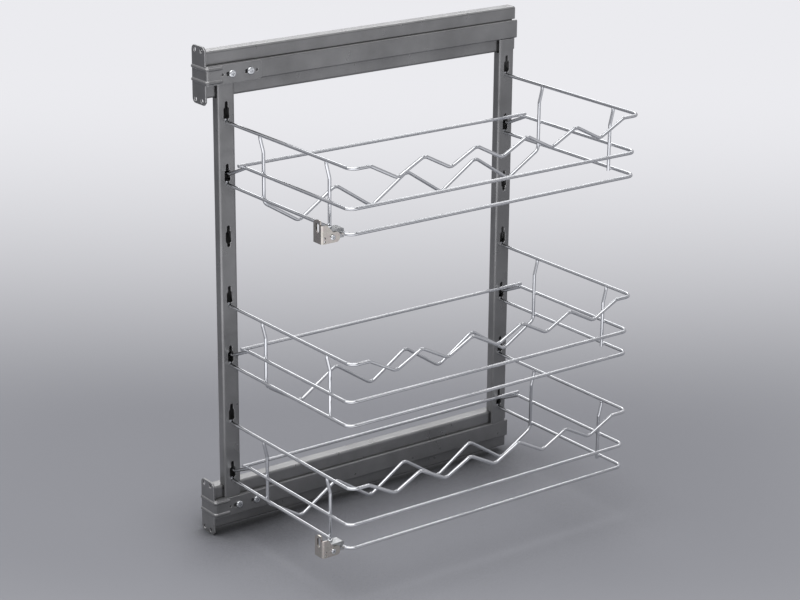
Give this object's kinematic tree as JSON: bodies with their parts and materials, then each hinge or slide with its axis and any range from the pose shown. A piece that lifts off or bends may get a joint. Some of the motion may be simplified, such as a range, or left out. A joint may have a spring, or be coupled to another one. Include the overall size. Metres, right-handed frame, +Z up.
{
  "type": "pull-out bottle rack",
  "caption": "Side-mounted pull-out rack for a narrow kitchen cabinet: a keyhole-slotted frame on ball runners carries hook-on wire baskets with wavy bottle rests.",
  "frame": {"origin": "on the cabinet's side wall, at the centre of the four wall screws of the two cabinet rails", "axes": "+Z up, -Y towards the door and the pull-out direction, +X from the side wall into the cabinet, towards the baskets"},
  "size_m": [0.2395, 0.3932, 0.5195],
  "materials": {
    "rail_steel": "satin silver-grey paint",
    "frame_steel": "satin silver-grey paint",
    "zinc_steel": "zinc-plated strip",
    "ball_steel": "polished hardened steel",
    "buffer_rubber": "matt black",
    "bright_zinc": "bright zinc plate",
    "chrome_wire": "bright chrome plate on steel wire",
    "clip_zinc": "yellowish zinc plate"
  },
  "bodies": {
    "wall_rails": {"cabinet_rail_top": "rail_steel", "end_buffer_top": "buffer_rubber", "cabinet_rail_bottom": "rail_steel", "end_buffer_bottom": "buffer_rubber"},
    "middle_rail_top": {"middle_rail_top": "zinc_steel"},
    "middle_rail_bottom": {"middle_rail_bottom": "zinc_steel"},
    "outer_balls_top": {"outer_ball_strips_top": "zinc_steel", "outer_balls_top": "ball_steel"},
    "inner_balls_top": {"inner_ball_strips_top": "zinc_steel", "inner_balls_top": "ball_steel"},
    "outer_balls_bottom": {"outer_ball_strips_bottom": "zinc_steel", "outer_balls_bottom": "ball_steel"},
    "inner_balls_bottom": {"inner_ball_strips_bottom": "zinc_steel", "inner_balls_bottom": "ball_steel"},
    "pullout_frame": {"beam_top": "frame_steel", "door_bracket_top": "frame_steel", "bracket_screws_top": "bright_zinc", "bracket_nuts_top": "bright_zinc", "beam_bottom": "frame_steel", "door_bracket_bottom": "frame_steel", "bracket_screws_bottom": "bright_zinc", "bracket_nuts_bottom": "bright_zinc", "upright_front": "frame_steel", "upright_rear": "frame_steel"},
    "basket_top": {"basket_top_rim_wire": "chrome_wire", "basket_top_guard_wire": "chrome_wire", "basket_top_base_wire": "chrome_wire", "basket_top_back_wire": "chrome_wire", "basket_top_cradle_wire": "chrome_wire", "basket_top_post_front": "chrome_wire", "basket_top_post_rear": "chrome_wire", "basket_top_clip_plate": "clip_zinc", "basket_top_clip_lower_jaw": "clip_zinc", "basket_top_clip_upper_jaw": "clip_zinc", "basket_top_clip_screws": "bright_zinc"},
    "basket_middle": {"basket_middle_rim_wire": "chrome_wire", "basket_middle_guard_wire": "chrome_wire", "basket_middle_base_wire": "chrome_wire", "basket_middle_back_wire": "chrome_wire", "basket_middle_cradle_wire": "chrome_wire", "basket_middle_post_front": "chrome_wire", "basket_middle_post_rear": "chrome_wire"},
    "basket_bottom": {"basket_bottom_rim_wire": "chrome_wire", "basket_bottom_guard_wire": "chrome_wire", "basket_bottom_base_wire": "chrome_wire", "basket_bottom_back_wire": "chrome_wire", "basket_bottom_cradle_wire": "chrome_wire", "basket_bottom_post_front": "chrome_wire", "basket_bottom_post_rear": "chrome_wire", "basket_bottom_clip_plate": "clip_zinc", "basket_bottom_clip_lower_jaw": "clip_zinc", "basket_bottom_clip_upper_jaw": "clip_zinc", "basket_bottom_clip_screws": "bright_zinc"}
  },
  "joints": [
    {"name": "pullout_slide", "type": "slide", "parent": "wall_rails", "child": "pullout_frame", "axis": [0, -1, 0], "range_m": [0, 0.35]},
    {"name": "middle_rail_slide_top", "type": "slide", "parent": "wall_rails", "child": "middle_rail_top", "axis": [0, -1, 0], "range_m": [0, 0.175]},
    {"name": "outer_balls_slide_top", "type": "slide", "parent": "wall_rails", "child": "outer_balls_top", "axis": [0, -1, 0], "range_m": [0, 0.0875]},
    {"name": "inner_balls_slide_top", "type": "slide", "parent": "wall_rails", "child": "inner_balls_top", "axis": [0, -1, 0], "range_m": [0, 0.2625]},
    {"name": "middle_rail_slide_bottom", "type": "slide", "parent": "wall_rails", "child": "middle_rail_bottom", "axis": [0, -1, 0], "range_m": [0, 0.175]},
    {"name": "outer_balls_slide_bottom", "type": "slide", "parent": "wall_rails", "child": "outer_balls_bottom", "axis": [0, -1, 0], "range_m": [0, 0.0875]},
    {"name": "inner_balls_slide_bottom", "type": "slide", "parent": "wall_rails", "child": "inner_balls_bottom", "axis": [0, -1, 0], "range_m": [0, 0.2625]},
    {"name": "basket_top_lift", "type": "slide", "parent": "pullout_frame", "child": "basket_top", "axis": [0, 0, 1], "range_m": [0, 0.0072]},
    {"name": "basket_middle_lift", "type": "slide", "parent": "pullout_frame", "child": "basket_middle", "axis": [0, 0, 1], "range_m": [0, 0.0072]},
    {"name": "basket_bottom_lift", "type": "slide", "parent": "pullout_frame", "child": "basket_bottom", "axis": [0, 0, 1], "range_m": [0, 0.0072]}
  ],
  "couplings": [
    {"joint": "middle_rail_slide_top", "follows": "pullout_slide", "ratio": 0.5},
    {"joint": "outer_balls_slide_top", "follows": "pullout_slide", "ratio": 0.25},
    {"joint": "inner_balls_slide_top", "follows": "pullout_slide", "ratio": 0.75},
    {"joint": "middle_rail_slide_bottom", "follows": "pullout_slide", "ratio": 0.5},
    {"joint": "outer_balls_slide_bottom", "follows": "pullout_slide", "ratio": 0.25},
    {"joint": "inner_balls_slide_bottom", "follows": "pullout_slide", "ratio": 0.75}
  ]
}
